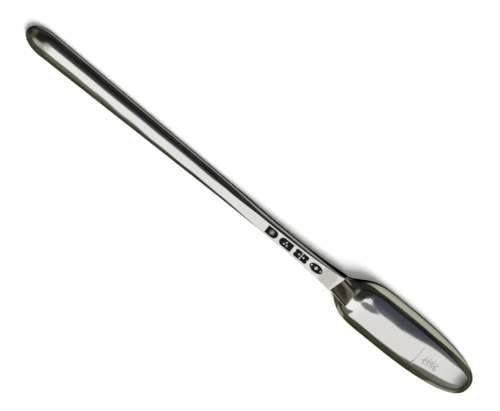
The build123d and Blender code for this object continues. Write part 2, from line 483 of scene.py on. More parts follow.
def back_line(form, x, lowest):
    """Points over the back from one rim to the other, before any cut."""
    sides = [(y, back_height(form, x, y)) for y in side_columns(form, x, lowest)]
    sides[0] = (sides[0][0], lowest)
    middle = form.middle(x)
    top = [(y, back_height(form, x, y)) for y in spread(middle, -middle, form.columns)]
    return sides + top + [(-y, z) for y, z in reversed(sides)]


# %% The underside of a ring
RIM_SHARE, LIP_SHARE = 0.3, 0.25
SOLID_HALF, FLAT_START, FLAT_END = 0.4, 0.9, 0.88


def under_line(form, x, rim_y, rim):
    """Points from a rim to the hollow's edge, and points through the hollow."""
    floor, half = form.arch(x), form.half_width(x)
    hollow_half, depth = form.hollow(x)
    flat_half = hollow_half if depth else SOLID_HALF * half
    lip = min(LIP_ROUND, LIP_SHARE * (half - hollow_half), 0.5 * depth)
    lift = asin(lip / depth) if depth else 0.0
    rim_in, rim_out = flat_half * cos(lift) + lip, rim_y - rim
    under = corner(rim_out, floor + rim, rim, 0, -pi / 2)[1:]
    under += [(y, floor) for y in spread(rim_out, rim_in, RIM_STEPS)[1:-1]]
    if depth:
        under += corner(rim_in, floor + lip, lip, -pi / 2, -pi)
    else:
        under += [(y, floor) for y in spread(rim_in, FLAT_START * rim_in, CORNER_STEPS)]
        flat_half = FLAT_END * rim_in
    hollow = [
        (flat_half * cos(turn), floor + depth * sin(turn))
        for turn in spread(lift, pi - lift, HOLLOW_STEPS)[1:-1]
    ]
    return under, hollow


def ring(form, x):
    """Closed loop of points across a forging, as (y, z, darkness)."""
    floor, wall = form.arch(x), form.half_width(x) - form.hollow(x)[0]
    rim = min(RIM_ROUND, RIM_SHARE * wall, RIM_SHARE * form.height(x))
    back = back_line(form, x, floor + rim)
    under, hollow = under_line(form, x, back[0][0], rim)
    points = []
    for y, z in back:
        cut, darkness = form.cut(x, y)
        points.append((y, z - cut - ripple(form, x, y, z), darkness))
    left_under = [(-y, z, 0) for y, z in under]
    left_hollow = [(-y, z, 0) for y, z in hollow]
    return points + left_under + left_hollow + [(y, z, 0) for y, z in reversed(under)]


print("points in a ring:", len(ring(HANDLE, 50)), len(ring(STEM, 130)), len(ring(WIDE, 190)))

# %% [markdown]
# ## Skins of the forgings
# Stations are closest together at the tips and at the ends of the hollows, where the shape
# turns fast, and over the marks and the engraving, which need a fine mesh. At the slanting
# joint the rings lean as the saw cut does. A ring leans by moving each point along the scoop
# in proportion to its height, and the lean fades out over a few millimetres.

# %% Meshing helpers
SHARP_ANGLE = radians(50)


def merged(*groups, gap=0.004):
    """Stations of several groups in order, without near doubles."""
    kept = []
    for x in sorted(x for group in groups for x in group):
        if not kept or x - kept[-1] > gap:
            kept.append(x)
    return kept


def every(start, end, step):
    return spread(start, end, max(round((end - start) / step), 1) + 1)


def new_piece(name, mesh_builder):
    """Turns a bmesh into a smooth object that rides on the scoop."""
    mesh = bpy.data.meshes.new(name)
    bmesh.ops.recalc_face_normals(mesh_builder, faces=mesh_builder.faces)
    mesh_builder.to_mesh(mesh)
    mesh_builder.free()
    mesh.shade_smooth()
    mesh.set_sharp_from_angle(angle=SHARP_ANGLE)
    piece = bpy.data.objects.new(name, mesh)
    bpy.context.scene.collection.objects.link(piece)
    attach(piece, "root")
    print(name, "faces:", len(mesh.polygons))
    return piece


def bridge(builder, first, second):
    """Faces between two neighbouring rings."""
    count = len(first)
    for step in range(count):
        following = (step + 1) % count
        builder.faces.new((first[step], first[following], second[following], second[step]))


def fan(builder, loop, point):
    """Faces from a ring to the single point that closes a tip."""
    tip = builder.verts.new(to_frame(*point))
    for step, vertex in enumerate(loop):
        builder.faces.new((vertex, loop[(step + 1) % len(loop)], tip))


def skin(name, rings, start_point=None, end_point=None):
    """Closed skin through rings of (x, y, z, darkness); an end is a point or a flat cap."""
    builder = bmesh.new()
    darkness = builder.verts.layers.float.new("recess")
    loops = []
    for points in rings:
        loop = []
        for x, y, z, dark in points:
            vertex = builder.verts.new(to_frame(x, y, z))
            vertex[darkness] = dark
            loop.append(vertex)
        loops.append(loop)
    for first, second in zip(loops, loops[1:]):
        bridge(builder, first, second)
    for loop, point in ((loops[0], start_point), (loops[-1], end_point)):
        if point:
            fan(builder, loop, point)
        else:
            builder.faces.new(loop)
    return new_piece(name, builder)


# %% Rings that lean with the scarf joint and turn with the shoulder
SCARF_LEAN, SCARF_HALF_FILM, NECK_FILM = radians(35), 0.06, 0.12
SCARF_SLOPE, SKEW_SLOPE = tan(SCARF_LEAN), tan(radians(SKEW_DEGREES))
HALF_FILM = SCARF_HALF_FILM / cos(SCARF_LEAN)


def upright(form, x):
    return [(x, y, z, dark) for y, z, dark in ring(form, x)]


def slanted(form, x, lean=0.0, skew=0.0):
    """Ring at x that leans back by a slope and is turned in plan by another slope."""
    points = []
    for (y, z, dark), (next_y, next_z, _) in zip(ring(form, x), ring(form, x + 1)):
        shift = lean * z + skew * y
        points.append((x + shift, y + (next_y - y) * shift, z + (next_z - z) * shift, dark))
    return points


SCARF_START, SCARF_END = NARROW_LENGTH - HALF_FILM, NARROW_LENGTH + HALF_FILM
LEAN_IN, LEAN_OUT = HOLLOW_END + 0.2, WAIST_X - 0.6
NECK_START = NECK_X - NECK_FILM
print("scarf joint from", round(SCARF_START, 3), "neck joint from", NECK_START)

# %% Narrow scoop
LONG_STEP, PLAIN_STEP, JOINT_STEP, MARK_STEP, CUT_STEP = 0.8, 0.4, 0.3, 0.1, 0.13
TIP_RINGS, TIP_WALL_RINGS, RUNOUT_RINGS = 34, 30, 34

narrow_stations = merged(
    reversed(tip_spread(NARROW_TIP, 0, TIP_RINGS)),
    reversed(tip_spread(NARROW_TIP, RIM_WALL, TIP_WALL_RINGS)),
    every(NARROW_TIP, HOLLOW_RUNOUT, LONG_STEP),
    tip_spread(HOLLOW_RUNOUT, HOLLOW_END, RUNOUT_RINGS),
    every(HOLLOW_END + 0.02, LEAN_IN, MARK_STEP),
)
narrow_rings = [upright(HANDLE, x) for x in narrow_stations]
for x in every(LEAN_IN, SCARF_START, PLAIN_STEP)[1:]:
    share = ease((x - LEAN_IN) / (SCARF_START - LEAN_IN))
    narrow_rings.append(slanted(HANDLE, x, lean=share * SCARF_SLOPE))
narrow_scoop = skin("narrow_scoop_skin", narrow_rings, start_point=(0, 0, 0))
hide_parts("narrow_scoop")

# %% Stem with its land and marks
MARKS_END = MARKS[-1][0] + 3.2
plain_stem = STEM._replace(cut=no_cut)
stem_rings = []
for x in every(SCARF_END, LEAN_OUT, JOINT_STEP):
    share = ease((LEAN_OUT - x) / (LEAN_OUT - SCARF_END))
    stem_rings.append(slanted(plain_stem, x, lean=share * SCARF_SLOPE))
for x in every(LEAN_OUT + 0.2, MARKS_END, MARK_STEP):
    stem_rings.append(upright(STEM, x))
for x in every(MARKS_END, NECK_START, JOINT_STEP)[1:]:
    share = ease((x - MARKS_END) / (NECK_START - MARKS_END))
    stem_rings.append(slanted(plain_stem, x, skew=share * SKEW_SLOPE))
stem = skin("stem_skin", stem_rings)
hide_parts("stem")

# %% Solder films of the two joints
scarf_solder = skin("scarf_solder_skin", [
    slanted(plain_stem, SCARF_START, lean=SCARF_SLOPE),
    slanted(plain_stem, SCARF_END, lean=SCARF_SLOPE),
])
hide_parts("scarf_solder")
neck_solder = skin("neck_solder_skin", [
    slanted(plain_stem, NECK_START, skew=SKEW_SLOPE),
    slanted(plain_stem, NECK_X, skew=SKEW_SLOPE),
])
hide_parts("neck_solder")

# %% Wide scoop
HEEL_RINGS, FRONT_RINGS, FRONT_WALL_RINGS, CUT_AROUND = 26, 60, 50, 0.6

wide_stations = merged(
    every(NECK_X, WIDEST_X, PLAIN_STEP),
    reversed(tip_spread(WIDEST_X, WIDE_HOLLOW_BACK, HEEL_RINGS)),
    tip_spread(WIDEST_X, TIP_X, FRONT_RINGS),
    tip_spread(WIDEST_X, TIP_X - WIDE_WALL, FRONT_WALL_RINGS),
    every(BAR_X - CUT_AROUND, STALK_END + CUT_AROUND, CUT_STEP),
)
wide_rings = []
for x in wide_stations:
    slope = wide_skew(x)
    wide_rings.append([(x + slope * y, y, z, dark) for y, z, dark in ring(WIDE, x)])
wide_scoop = skin("wide_scoop_skin", wide_rings, end_point=(TIP_X, 0, 0))
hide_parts("wide_scoop")

# %% [markdown]
# ## Drop on the heel
# The drop is a flat-topped tongue that slopes from the land up the back of the wide scoop.
# It is lapped over the scoop, so its solid only needs the part that shows and a little that
# is sunk in the scoop's back. Its root follows the turned shoulder, and its end is square to
# the scoop with rounded corners and a softened edge.

# %% Heel drop
DROP_LENGTH, DROP_START_HALF, DROP_END_HALF = 7.4, 4.1, 4.7
DROP_SLOPE = tan(radians(30))
DROP_SQUARE, DROP_CORNER, DROP_EDGE, DROP_SUNK = 4, 1.6, 0.25, 0.3
DROP_END = NECK_X + DROP_LENGTH
DROP_COLUMNS, DROP_STEP, DROP_EDGE_RINGS = 70, 0.12, 6


def drop_share(x):
    return (x - NECK_X) / DROP_LENGTH


def drop_half(x):
    """Half width of the tongue, with its end's corners rounded in plan."""
    half = DROP_START_HALF + (DROP_END_HALF - DROP_START_HALF) * drop_share(x)
    past = max(x - (DROP_END - DROP_CORNER), 0)
    return half - DROP_CORNER + sqrt(max(DROP_CORNER**2 - past**2, 0))


def station_through(x, y):
    """Station whose turned section passes through a point of the plan."""
    return x - y * wide_skew(x - y * wide_skew(x))


def drop_back(x, y):
    station = station_through(x, y)
    half = DROP_START_HALF + (DROP_END_HALF - DROP_START_HALF) * drop_share(station)
    across = min(abs(y) / half, 1)
    tall = LAND_HEIGHT + DROP_SLOPE * (station - NECK_X)
    top = tall * (1 - across**DROP_SQUARE) ** (1 / DROP_SQUARE)
    shy = max(DROP_EDGE - min(drop_half(x) - abs(y), DROP_END - x), 0)
    return top - DROP_EDGE + sqrt(max(DROP_EDGE**2 - shy**2, 0))


def drop_ring(x):
    """Loop over the tongue and back through the scoop under it."""
    turn = SKEW_SLOPE * (1 - ease(drop_share(x)))
    upper, lower = [], []
    for y in spread(drop_half(x), -drop_half(x), DROP_COLUMNS):
        place = x + turn * y
        seat = back_height(WIDE, max(station_through(place, y), NECK_X), y)
        upper.append((place, y, max(drop_back(place, y), seat - DROP_SUNK), 0))
        lower.append((place, y, seat - 2 * DROP_SUNK, 0))
    return upper + list(reversed(lower))


drop_stations = merged(
    every(NECK_X, DROP_END, DROP_STEP),
    tip_spread(DROP_END - DROP_EDGE, DROP_END, DROP_EDGE_RINGS),
    [DROP_END],
)
heel_drop = skin("heel_drop_skin", [drop_ring(x) for x in drop_stations])
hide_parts("heel_drop")
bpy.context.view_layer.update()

# %% [markdown]
# ## Silver
# Metal has hardly any colour of its own: it is what it reflects. So the base colour is a
# pale warm grey, and the rest is laid over it: hair-fine polishing scratches, a dark film on
# the flanks that is partly tarnish and mostly painted shade, paler on the near side and dark
# again along the rims, a dimmer tint on the steep flanks that paints shade into their
# reflection, patches that are stains and painted reflections, and black dirt in the struck
# recesses. Scratches, the film and the patches are node groups, because every silver here
# uses them with values of its own.

# %% Node helpers
def add_node(tree, kind, inputs=None, **settings):
    """A node with its settings; an input is a number, a colour or another node's output."""
    made = tree.nodes.new(kind)
    for name, value in settings.items():
        setattr(made, name, value)
    for name, value in (inputs or {}).items():
        if isinstance(value, bpy.types.NodeSocket):
            tree.links.new(value, made.inputs[name])
        else:
            made.inputs[name].default_value = value
    return made


def compute(tree, operation, *values):
    inputs = dict(enumerate(values))
    return add_node(tree, "ShaderNodeMath", inputs, operation=operation).outputs[0]


def ramp(tree, value, start, end, low=0.0, high=1.0):
    """Smooth step of a value from low to high, between two of its values."""
    inputs = {"Value": value, "From Min": start, "From Max": end, "To Min": low, "To Max": high}
    made = add_node(tree, "ShaderNodeMapRange", inputs, interpolation_type="SMOOTHSTEP")
    return made.outputs["Result"]


def follow_curve(tree, value, span, reach, points):
    """Value read off a drawn curve: span is its range of inputs and reach its range of results."""
    place = add_node(tree, "ShaderNodeMapRange", {"Value": value, "From Min": span[0],
                                                  "From Max": span[1]}).outputs["Result"]
    made = add_node(tree, "ShaderNodeFloatCurve", {"Value": place})
    drawn = made.mapping.curves[0].points
    for index, (x, y) in enumerate(points):
        spot = ((x - span[0]) / (span[1] - span[0]), (y - reach[0]) / (reach[1] - reach[0]))
        if index < 2:
            drawn[index].location = spot
        else:
            drawn.new(*spot)
    made.mapping.update()
    return compute(tree, "MULTIPLY_ADD", made.outputs["Value"], reach[1] - reach[0], reach[0])


def mix_colours(tree, share, first, second):
    made = add_node(tree, "ShaderNodeMix", data_type="RGBA")
    for socket, value in (("Factor_Float", share), ("A_Color", first), ("B_Color", second)):
        place = next(item for item in made.inputs if item.identifier == socket)
        if isinstance(value, bpy.types.NodeSocket):
            tree.links.new(value, place)
        else:
            place.default_value = value
    return next(item for item in made.outputs if item.identifier == "Result_Color")


def new_group(name, inputs, outputs):
    """Empty node group with named float inputs, each with its value, and float outputs."""
    group = bpy.data.node_groups.new(name, "ShaderNodeTree")
    for socket, value in inputs.items():
        made = group.interface.new_socket(socket, in_out="INPUT", socket_type="NodeSocketFloat")
        made.default_value = value
    for socket in outputs:
        group.interface.new_socket(socket, in_out="OUTPUT", socket_type="NodeSocketFloat")
    given = group.nodes.new("NodeGroupInput")
    result = group.nodes.new("NodeGroupOutput")
    return group, given.outputs, result.inputs


def place_group(tree, group, **values):
    """A group in a material, with values of its own."""
    made = add_node(tree, "ShaderNodeGroup", node_tree=group)
    for name, value in values.items():
        made.inputs[name.replace("_", " ")].default_value = value
    return made.outputs


# %% Polishing scratches
def make_scratches():
    """Thin lines along one direction of the plan: sizes are in millimetres."""
    inputs = {"Turn": 0.0, "Run": 9.0, "Width": 0.2, "Share": 0.5}
    group, given, result = new_group("polishing_scratches", inputs, ["Lines"])
    place = add_node(group, "ShaderNodeTexCoord").outputs["Object"]
    turned = add_node(group, "ShaderNodeVectorRotate", {"Vector": place, "Angle": given["Turn"]},
                      rotation_type="Z_AXIS").outputs[0]
    along = compute(group, "DIVIDE", 1 / MM, given["Run"])
    across = compute(group, "DIVIDE", 1 / MM, given["Width"])
    size = add_node(group, "ShaderNodeCombineXYZ", {"X": along, "Y": across, "Z": across})
    stretched = add_node(group, "ShaderNodeVectorMath",
                         {0: turned, 1: size.outputs[0]}, operation="MULTIPLY").outputs[0]
    noise = add_node(group, "ShaderNodeTexNoise",
                     {"Vector": stretched, "Scale": 1.0, "Detail": 2.0})
    start = compute(group, "SUBTRACT", 0.95, compute(group, "MULTIPLY", given["Share"], 0.5))
    value = compute(group, "SUBTRACT", noise.outputs["Fac"], start)
    group.links.new(ramp(group, value, -0.1, 0.12), result["Lines"])
    return group


# %% Where the tarnish and painted shade lie
# The film is mostly painted shade: it lies by how the surface leans, where the reflections should
# come out dark, and it is paler on the near side.
SIDE_SOFT, LEVEL_TILT, NEAR_CLEAR_LIMIT = 0.1, 0.06, 0.76
FLANK_SOFT, CLEAR_SOFT, NEAR_SOFTER, EDGE_FADE = 0.06, 0.04, 0.06, 0.08
END_SHADE, FRONT_PALE, CLEARED_SIDE = (0.34, 0.50), (0.12, 0.30), (-0.05, -0.3)
FADE_HALF, PATCH_LEFT, UNDERSIDE_LEFT = 6.0, 0.95, 0.12


def surface_lean(tree):
    """Parts of the surface's normal: X is along the scoop, Y to the far side and Z up."""
    normal = add_node(tree, "ShaderNodeNewGeometry").outputs["Normal"]
    return add_node(tree, "ShaderNodeSeparateXYZ", {"Vector": normal}).outputs


def shade_film_bounds(group, given, lean, tilt):
    """Which side the surface is on, and where the film starts and thins on that side."""
    near = ramp(group, lean["Y"], SIDE_SOFT, -SIDE_SOFT)
    far_clear = compute(group, "MULTIPLY_ADD", tilt, given["Far Ends"], given["Far Clear"])
    near_clear = compute(group, "MULTIPLY_ADD", tilt, given["Near Ends"], given["Near Clear"])
    near_clear = compute(group, "MINIMUM", near_clear, NEAR_CLEAR_LIMIT)

    def by_side(far_value, near_value):
        change = compute(group, "SUBTRACT", near_value, far_value)
        return compute(group, "MULTIPLY_ADD", near, change, far_value)

    return near, by_side(given["Far Start"], given["Near Start"]), by_side(far_clear, near_clear)


def shade_film_left(group, given, lean):
    """How much film is kept: a little less in noise patches, none on the near side past Near Fade,
    and little underneath.
    """
    place = add_node(group, "ShaderNodeTexCoord").outputs["Object"]
    scale = compute(group, "DIVIDE", 1 / MM, given["Patch"])
    noise = add_node(group, "ShaderNodeTexNoise", {"Vector": place, "Scale": scale, "Detail": 3.0})
    patches = ramp(group, noise.outputs["Fac"], 0.3, 0.7, PATCH_LEFT, 1.0)
    part = add_node(group, "ShaderNodeSeparateXYZ", {"Vector": place}).outputs
    along = compute(group, "MULTIPLY", part["X"], 1 / MM)
    past = ramp(group, along, compute(group, "SUBTRACT", given["Near Fade"], FADE_HALF),
                compute(group, "ADD", given["Near Fade"], FADE_HALF))
    cleared = compute(group, "MULTIPLY", past, ramp(group, lean["Y"], *CLEARED_SIDE))
    kept = compute(group, "MULTIPLY", patches, compute(group, "SUBTRACT", 1.0, cleared))
    above = ramp(group, lean["Z"], -0.25, 0.0, UNDERSIDE_LEFT, 1.0)
    return compute(group, "MULTIPLY", kept, above)


# %% Tarnish and painted shade
def make_tarnish_and_painted_shade():
    """Tarnish film that is mostly painted shade, placed by how far the surface leans, with a
    clear strip on each flank near its rim.

    Far is the +Y side and Near the -Y side. The third output marks where the paler film goes:
    the near side and faces turned towards the wide scoop's tip, so the sides are shaded
    differently. Start is the upward part of the normal where the film begins, Clear the part
    under which it thins, and Ends moves Clear where the surface also leans along the scoop.
    Under Edge, at the rim, and where the surface leans far along the scoop, the film is a
    painted dark outline. The second output marks the steep flanks, whose colour is dimmed:
    painted shade in their reflection. Past Near Fade, in the frame's millimetres, the near
    side has no film.
    """
    inputs = {"Far Start": 0.66, "Near Start": 0.90, "Far Clear": 0.50, "Near Clear": 0.35,
              "Far Ends": -1.0, "Near Ends": 4.0, "Edge": 0.16, "Patch": 9.0, "Near Fade": 400.0}
    group, given, result = new_group("tarnish_and_painted_shade", inputs, ["Film", "Flank Shade", "Near"])
    lean = surface_lean(group)
    up = lean["Z"]
    tilt = compute(group, "SUBTRACT", compute(group, "ABSOLUTE", lean["X"]), LEVEL_TILT)
    tilt = compute(group, "MAXIMUM", tilt, 0.0)
    near, start, clear = shade_film_bounds(group, given, lean, tilt)

    flank = ramp(group, up, start, compute(group, "SUBTRACT", start, FLANK_SOFT))
    soft = compute(group, "MULTIPLY_ADD", near, NEAR_SOFTER, CLEAR_SOFT)
    upper = ramp(group, up, compute(group, "SUBTRACT", clear, soft),
                 compute(group, "ADD", clear, soft))
    # Painted dark outline: below Edge the film covers the rims again, and it also covers the ends
    # where the surface leans along the scoop.
    lower = ramp(group, up, given["Edge"], compute(group, "SUBTRACT", given["Edge"], EDGE_FADE))
    shade_mask = compute(group, "MAXIMUM", compute(group, "MULTIPLY", flank, upper), lower)
    shade_mask = compute(group, "MAXIMUM", shade_mask, ramp(group, tilt, *END_SHADE))

    kept = shade_film_left(group, given, lean)
    group.links.new(compute(group, "MULTIPLY", shade_mask, kept), result["Film"])
    group.links.new(compute(group, "MULTIPLY", flank, kept), result["Flank Shade"])
    pale = compute(group, "MAXIMUM", near, ramp(group, lean["X"], *FRONT_PALE))
    group.links.new(pale, result["Near"])
    return group


# %% Stains and painted patches
def make_stain_and_painted_patch():
    """One turned blotch with a ragged edge: its middle and reach are in the frame's millimetres."""
    inputs = {"Middle X": 0.0, "Middle Y": 0.0, "Reach X": 3.0, "Reach Y": 3.0, "Turn": 0.0,
              "Ragged": 0.5, "Soft": 0.25}
    group, given, result = new_group("stain_and_painted_patch", inputs, ["Mask"])
    place = add_node(group, "ShaderNodeTexCoord").outputs["Object"]
    noise = add_node(group, "ShaderNodeTexNoise",
                     {"Vector": place, "Scale": 0.5 / MM, "Detail": 3.0})
    middle = add_node(group, "ShaderNodeCombineXYZ",
                      {"X": given["Middle X"], "Y": given["Middle Y"]})
    sized = add_node(group, "ShaderNodeVectorMath", {0: place, "Scale": 1 / MM}, operation="SCALE")
    off = add_node(group, "ShaderNodeVectorMath", {0: sized.outputs[0], 1: middle.outputs[0]},
                   operation="SUBTRACT")
    turned = add_node(group, "ShaderNodeVectorRotate",
                      {"Vector": off.outputs[0], "Angle": given["Turn"]},
                      rotation_type="Z_AXIS")
    part = add_node(group, "ShaderNodeSeparateXYZ", {"Vector": turned.outputs[0]}).outputs
    squares = []
    for axis in "XY":
        share = compute(group, "DIVIDE", part[axis], given["Reach " + axis])
        squares.append(compute(group, "MULTIPLY", share, share))
    reach = compute(group, "SQRT", compute(group, "ADD", *squares))
    wobble = compute(group, "MULTIPLY", compute(group, "SUBTRACT", noise.outputs["Fac"], 0.5),
                     given["Ragged"])
    outer = compute(group, "ADD", given["Soft"], 1.0)
    inner = compute(group, "SUBTRACT", 1.0, given["Soft"])
    mask = ramp(group, compute(group, "ADD", reach, wobble), outer, inner)
    group.links.new(mask, result["Mask"])
    return group


SCRATCHES, TARNISH_AND_PAINTED_SHADE, STAIN_AND_PAINTED_PATCH = make_scratches(), make_tarnish_and_painted_shade(), make_stain_and_painted_patch()
print("node groups:", [group.name for group in (SCRATCHES, TARNISH_AND_PAINTED_SHADE, STAIN_AND_PAINTED_PATCH)])

# %% One silver, with values of its own
BRIGHT_SILVER = (0.80, 0.79, 0.775, 1)
# Painted shade: the film is near black on the far side and dark olive on the near side, and the
# steep flanks are dimmed to olive or grey.
FAR_SHADE_FILM = (0.012, 0.013, 0.011, 1)
NEAR_SHADE_FILM = (0.060, 0.060, 0.045, 1)
OLIVE_FLANK_SHADE = (0.37, 0.37, 0.28, 1)
GREY_FLANK_SHADE = (0.28, 0.29, 0.27, 1)
RECESS_BLACK = (0.018, 0.018, 0.02, 1)
GRAZING_TINT = (0.35, 0.35, 0.30, 1)
CROSS_TURN, CROSS_RUN = radians(63), 0.4
LINES_ROUGH, DULL_ROUGH, DIRT_ROUGH = 0.05, 0.08, 0.4
LINES_BUMP, LINES_DEPTH = 0.25, 0.004 * MM


def crossed_lines(tree, scratch):
    """Long scratches the way the cloth runs, and shorter ones across them."""
    long_lines = place_group(tree, SCRATCHES, **scratch)["Lines"]
    cross = dict(scratch, Turn=scratch["Turn"] + CROSS_TURN, Run=CROSS_RUN * scratch["Run"])
    cross_lines = place_group(tree, SCRATCHES, **cross)["Lines"]
    return compute(tree, "MAXIMUM", long_lines, cross_lines)


def add_stains_and_painted_patches(tree, colour, dull, stains_and_painted_patches):
    """Lays each patch over the metal, stains and painted reflections alike: it tints the metal and
    takes off its shine.
    """
    for patch_colour, values in stains_and_painted_patches:
        patched = place_group(tree, STAIN_AND_PAINTED_PATCH, **values)["Mask"]
        colour = mix_colours(tree, patched, colour, patch_colour)
        dull = compute(tree, "MAXIMUM", dull, patched)
    return colour, dull


def make_silver(name, bright, roughness, tarnish_and_painted_shade, flank_shade, scratch, stains_and_painted_patches=()):
    """Polished silver: bright metal, a film on the flanks that is partly tarnish and mostly painted
    shade, stains and painted reflection patches, scratches and dirt.
    """
    material = bpy.data.materials.new(name)
    material.use_nodes = True
    tree = material.node_tree
    shader = tree.nodes["Principled BSDF"]
    shader.inputs["Metallic"].default_value = 1.0
    shader.inputs["Specular Tint"].default_value = GRAZING_TINT
    masks = place_group(tree, TARNISH_AND_PAINTED_SHADE, **tarnish_and_painted_shade)
    lines = crossed_lines(tree, scratch)

    colour, dull = add_stains_and_painted_patches(tree, bright, masks["Flank Shade"], stains_and_painted_patches)
    colour = mix_colours(tree, masks["Flank Shade"], colour, flank_shade)
    shade_film = mix_colours(tree, masks["Near"], FAR_SHADE_FILM, NEAR_SHADE_FILM)
    colour = mix_colours(tree, masks["Film"], colour, shade_film)
    dirt = add_node(tree, "ShaderNodeAttribute", attribute_name="recess").outputs["Fac"]
    colour = mix_colours(tree, dirt, colour, RECESS_BLACK)
    tree.links.new(colour, shader.inputs["Base Color"])

    rough = compute(tree, "MULTIPLY_ADD", lines, LINES_ROUGH, roughness)
    rough = compute(tree, "MULTIPLY_ADD", dull, DULL_ROUGH, rough)
    rough = compute(tree, "MULTIPLY_ADD", dirt, DIRT_ROUGH, rough)
    tree.links.new(rough, shader.inputs["Roughness"])
    bump = add_node(tree, "ShaderNodeBump", {"Height": lines, "Strength": LINES_BUMP,
                                              "Distance": LINES_DEPTH}, invert=True)
    tree.links.new(bump.outputs["Normal"], shader.inputs["Normal"])
    return material


def dress(piece, material):
    piece.data.materials.clear()
    piece.data.materials.append(material)


# %% [markdown]
# ## Finishes piece by piece
# Both scoops were polished along their length. The land was stoned flat before it was
# struck, so it is the brightest and its scratches run with it. The drop is duller, and its
# patches are painted reflection: they darken and brown its sloping face. The patches at the
# narrow tip and on the wide scoop's shoulder are painted reflection too, and the land has one
# pale grey patch. Solder has a little more copper and dulls first. A patch's place is in
# millimetres from the middle of the scoop.

# %% Materials
along = {"Turn": 0.0, "Run": 9.0, "Width": 0.2, "Share": 0.5}
# Where the painted shade film starts and thins on each scoop, and where it fades on the near side.
handle_shade_film = {"Far_Start": 0.72, "Near_Start": 0.90, "Far_Clear": 0.33, "Near_Clear": 0.36,
               "Far_Ends": 0.0, "Near_Ends": 0.0, "Edge": 0.24, "Patch": 9.0, "Near_Fade": 3.0}
wide_shade_film = {"Far_Start": 0.71, "Near_Start": 0.90, "Far_Clear": 0.51, "Near_Clear": 0.35,
             "Far_Ends": -0.75, "Near_Ends": 4.0, "Edge": 0.18, "Patch": 9.0}
# Painted reflection: the two patches darken and warm the narrow scoop's tip, standing in for the
# dark olive and pinkish grey it reflects.
tip_painted_reflection = [
    ((0.35, 0.32, 0.27, 1), {"Middle_X": -110.0, "Reach_X": 10.5, "Reach_Y": 40.0}),
    ((0.15, 0.16, 0.10, 1), {"Middle_X": -111.0, "Reach_X": 5.0, "Reach_Y": 5.0, "Soft": 0.4}),
]
land_stain = (0.62, 0.60, 0.57, 1), {"Middle_X": 41.0, "Reach_X": 3.5, "Reach_Y": 4.5}
# Painted reflection: a thin grey patch on the shoulder stands in for a grey reflection there.
shoulder_painted_reflection = (0.19, 0.185, 0.18, 1), {"Middle_X": 60.6, "Middle_Y": 3.0, "Reach_X": 4.4,
                                          "Reach_Y": 1.15, "Turn": -0.12, "Ragged": 0.7,
                                          "Soft": 0.3}
# Painted reflection: these patches darken and brown the drop's sloping face, standing in for the
# brown it reflects.
drop_painted_reflection = [
    ((0.42, 0.38, 0.31, 1), {"Middle_X": 49.0, "Middle_Y": -2.6, "Reach_X": 9.0, "Reach_Y": 2.6,
                             "Ragged": 0.2}),
    ((0.20, 0.155, 0.11, 1), {"Middle_X": 47.6, "Middle_Y": 0.5, "Reach_X": 3.9, "Reach_Y": 1.5,
                              "Turn": 0.25, "Soft": 0.4}),
    ((0.16, 0.145, 0.10, 1), {"Middle_X": 49.5, "Middle_Y": -4.3, "Reach_X": 9.0, "Reach_Y": 1.9,
                              "Turn": 0.15, "Ragged": 0.2}),
]
handle_silver = make_silver("handle_silver", BRIGHT_SILVER, 0.09, handle_shade_film, GREY_FLANK_SHADE, along,
                            [*tip_painted_reflection, land_stain])
wide_silver = make_silver("wide_scoop_silver", BRIGHT_SILVER, 0.08, wide_shade_film, OLIVE_FLANK_SHADE,
                          {**along, "Turn": radians(8)}, [shoulder_painted_reflection])
drop_silver = make_silver("heel_drop_silver", BRIGHT_SILVER, 0.16,
                          {**wide_shade_film, "Patch": 3.0}, OLIVE_FLANK_SHADE, along, drop_painted_reflection)
solder_silver = make_silver("joint_solder", (0.76, 0.745, 0.72, 1), 0.12,
                            handle_shade_film, GREY_FLANK_SHADE, {**along, "Run": 1.5})
for piece, material in (
    (narrow_scoop, handle_silver), (stem, handle_silver), (wide_scoop, wide_silver),
    (heel_drop, drop_silver), (scarf_solder, solder_silver), (neck_solder, solder_silver),
):
    dress(piece, material)
print("materials:", [material.name for material in bpy.data.materials if material.users])

# %% [markdown]
# ## Studio
# A polished piece is photographed by lighting what it reflects. Over the scoop hangs one long
# soft box, to the side of the camera, and the rest of the room is dark, so the back shows one
# clean bright band between dark ones. The box is painted into the world by direction. Two
# angles place it, in degrees: one along the scoop and one across it. Its outline is drawn
# point by point and was fitted in the main view, as the tones of the room were, so
# other views show the same room but not a tuned picture. The walls beyond both ends are pale.
# The whole world counts for less on matt surfaces, which gives the paper a clearer shadow.

# %% Soft box and dark room
BOX_UPPER = [(-60, -3), (-14, -2), (-9, -26), (-5, -30), (-2, -40), (3, -42), (6, -20),
             (10, -28), (19, -50), (30, -57), (41, -72), (60, -90)]
BOX_LOWER = [(-60, 38), (-35, 42), (-18, 45), (-10, 40), (-8, 37), (-5, 50), (-3, 66), (0, 73),
             (4, 73), (9, 70), (14, 57), (20, 48), (30, 45), (41, 38), (60, 20)]
BOX_LEVEL = [(-60, 1.06), (-14, 1.06), (-4, 0.98), (2, 0.90), (20, 0.88), (34, 0.85),
             (42, 0.74), (48, 0.45), (60, 0.25)]
BOX_START, START_SOFT, BOX_END, END_SOFT = -42.0, 3.0, 50.0, 9.0
EDGE_SOFT, GLOW_REACH, WORLD_ON_MATT = 4.0, 35.0, 0.66
CURVE_SPAN, OUTLINE_REACH, LEVEL_REACH = (-60, 60), (-100, 100), (0, 2)
BOX_COLOUR = (1.0, 0.995, 0.985, 1)
ROOM_FLOOR = (0.024, 0.028, 0.026, 1)
ROOM_DARK = (0.062, 0.066, 0.092, 1)
ROOM_GLOW = (0.130, 0.135, 0.140, 1)
ROOM_SIDE = (0.150, 0.150, 0.105, 1)
ROOM_START = (0.42, 0.38, 0.31, 1)
ROOM_END = (0.22, 0.235, 0.22, 1)
END_WALL = (0.70, 0.70, 0.69, 1)
